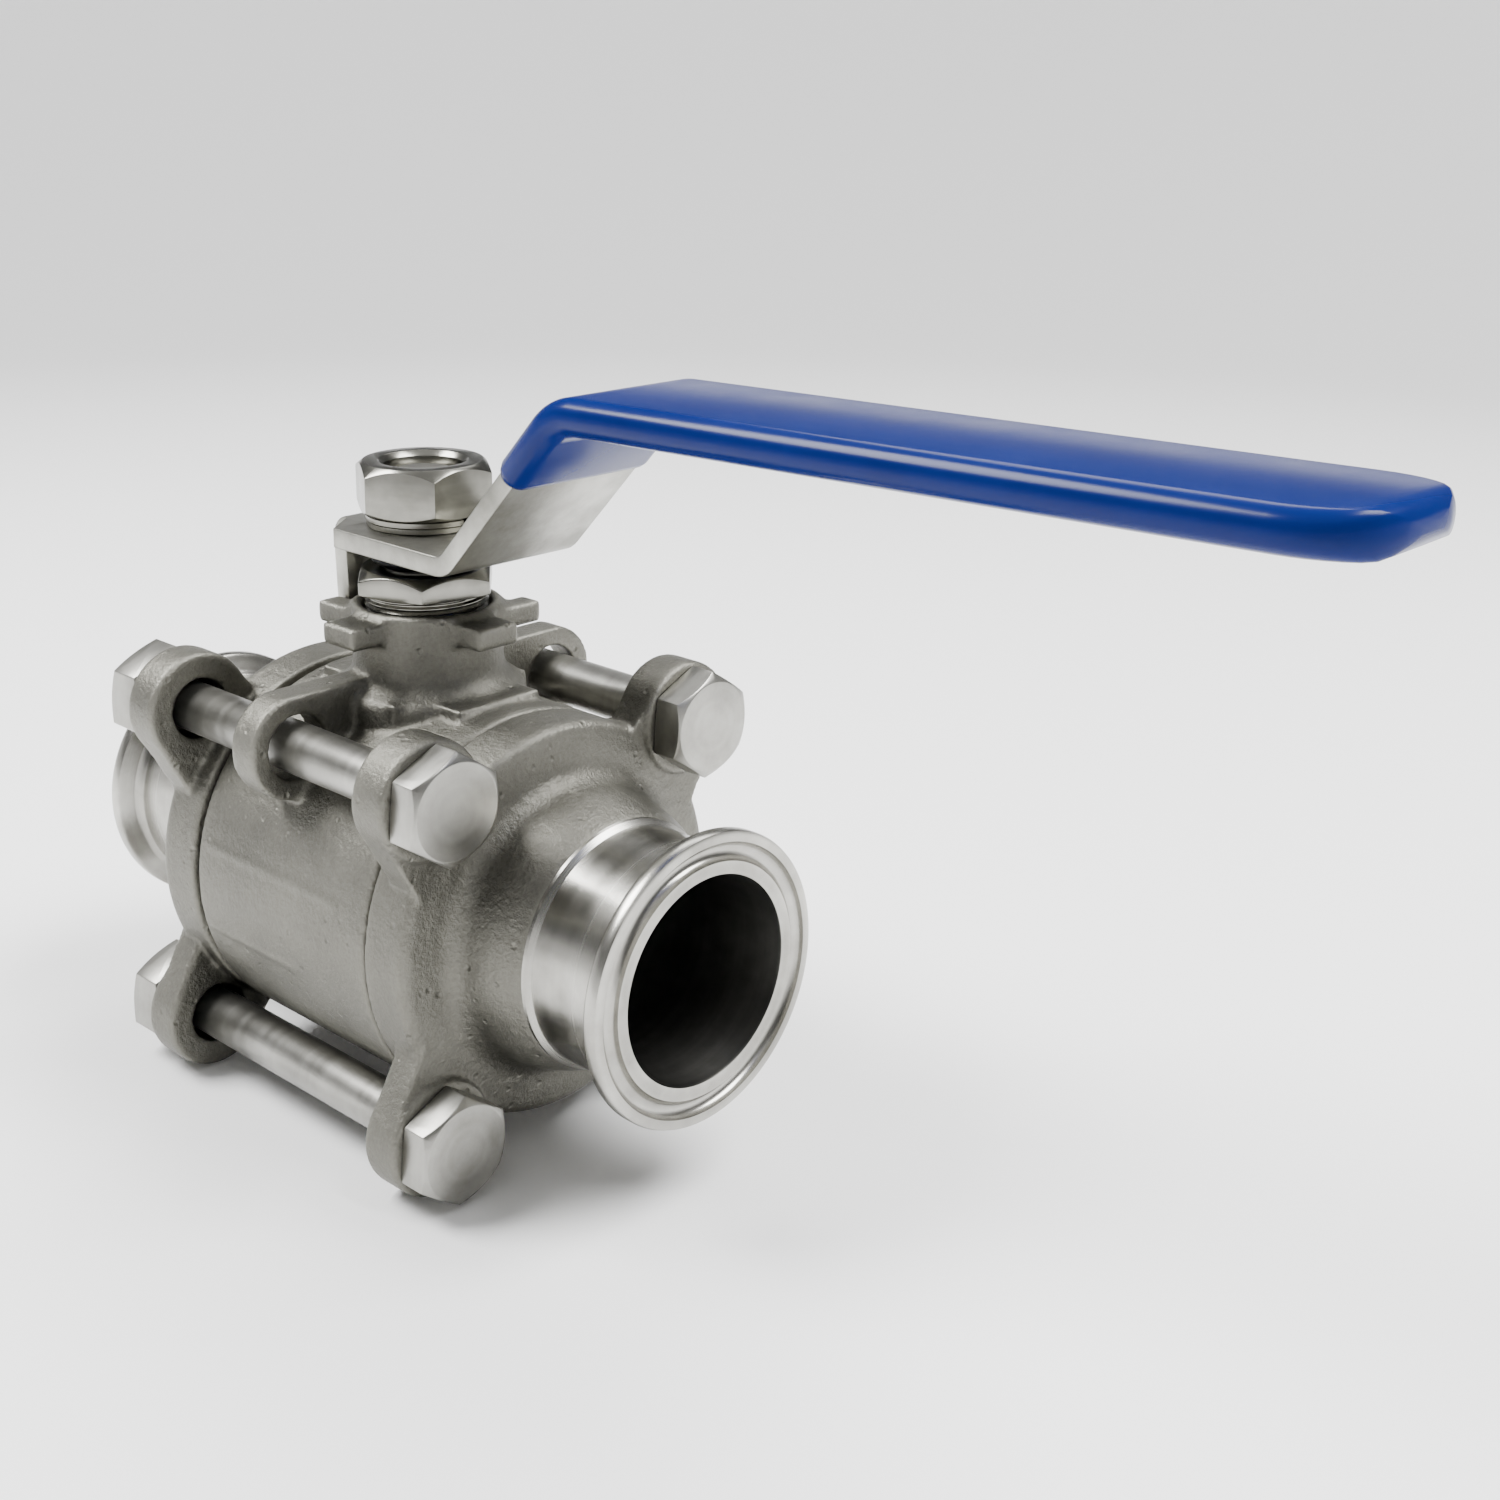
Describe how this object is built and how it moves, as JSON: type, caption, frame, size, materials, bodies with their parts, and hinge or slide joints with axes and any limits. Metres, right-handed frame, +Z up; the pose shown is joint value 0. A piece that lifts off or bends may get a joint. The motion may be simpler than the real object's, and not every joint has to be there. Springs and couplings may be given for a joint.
{
  "type": "sanitary ball valve",
  "caption": "Three-piece clamp-end ball valve with a full bore, bolted cast caps and a bent lever in a blue vinyl sleeve that turns a quarter turn.",
  "frame": {"origin": "centre of the ball, where the flow axis crosses the stem axis", "axes": "+X along the flow axis towards the end that the open lever points to, +Z up the stem, +Y across"},
  "size_m": [0.2528, 0.0786, 0.1387],
  "materials": {
    "cast_steel": "bead-blasted casting",
    "turned_steel": "satin",
    "bright_steel": "bright",
    "blue_vinyl": "semi-gloss vinyl",
    "ptfe": "matte"
  },
  "bodies": {
    "valve": {"end_cap_front": "cast_steel", "end_cap_rear": "cast_steel", "body": "cast_steel", "seat_front": "ptfe", "seat_rear": "ptfe", "joint_ring_front": "ptfe", "joint_ring_rear": "ptfe", "thrust_washer": "ptfe", "packing_lower": "ptfe", "packing_middle": "ptfe", "packing_upper": "ptfe", "gland_follower": "turned_steel", "gland_nut": "bright_steel", "bolt_top_near": "turned_steel", "bolt_nut_top_near": "turned_steel", "bolt_bottom_near": "turned_steel", "bolt_nut_bottom_near": "turned_steel", "bolt_top_far": "turned_steel", "bolt_nut_top_far": "turned_steel", "bolt_bottom_far": "turned_steel", "bolt_nut_bottom_far": "turned_steel"},
    "handle": {"stem": "turned_steel", "ball": "bright_steel", "disc_spring": "turned_steel", "lever": "turned_steel", "lever_grip": "blue_vinyl", "lock_washer": "turned_steel", "stem_nut": "bright_steel"}
  },
  "joints": [
    {"name": "lever_turn", "type": "hinge", "parent": "valve", "child": "handle", "pos_m": [0, 0, 0], "axis": [0, 0, 1], "range_deg": [-90, 0]}
  ]
}
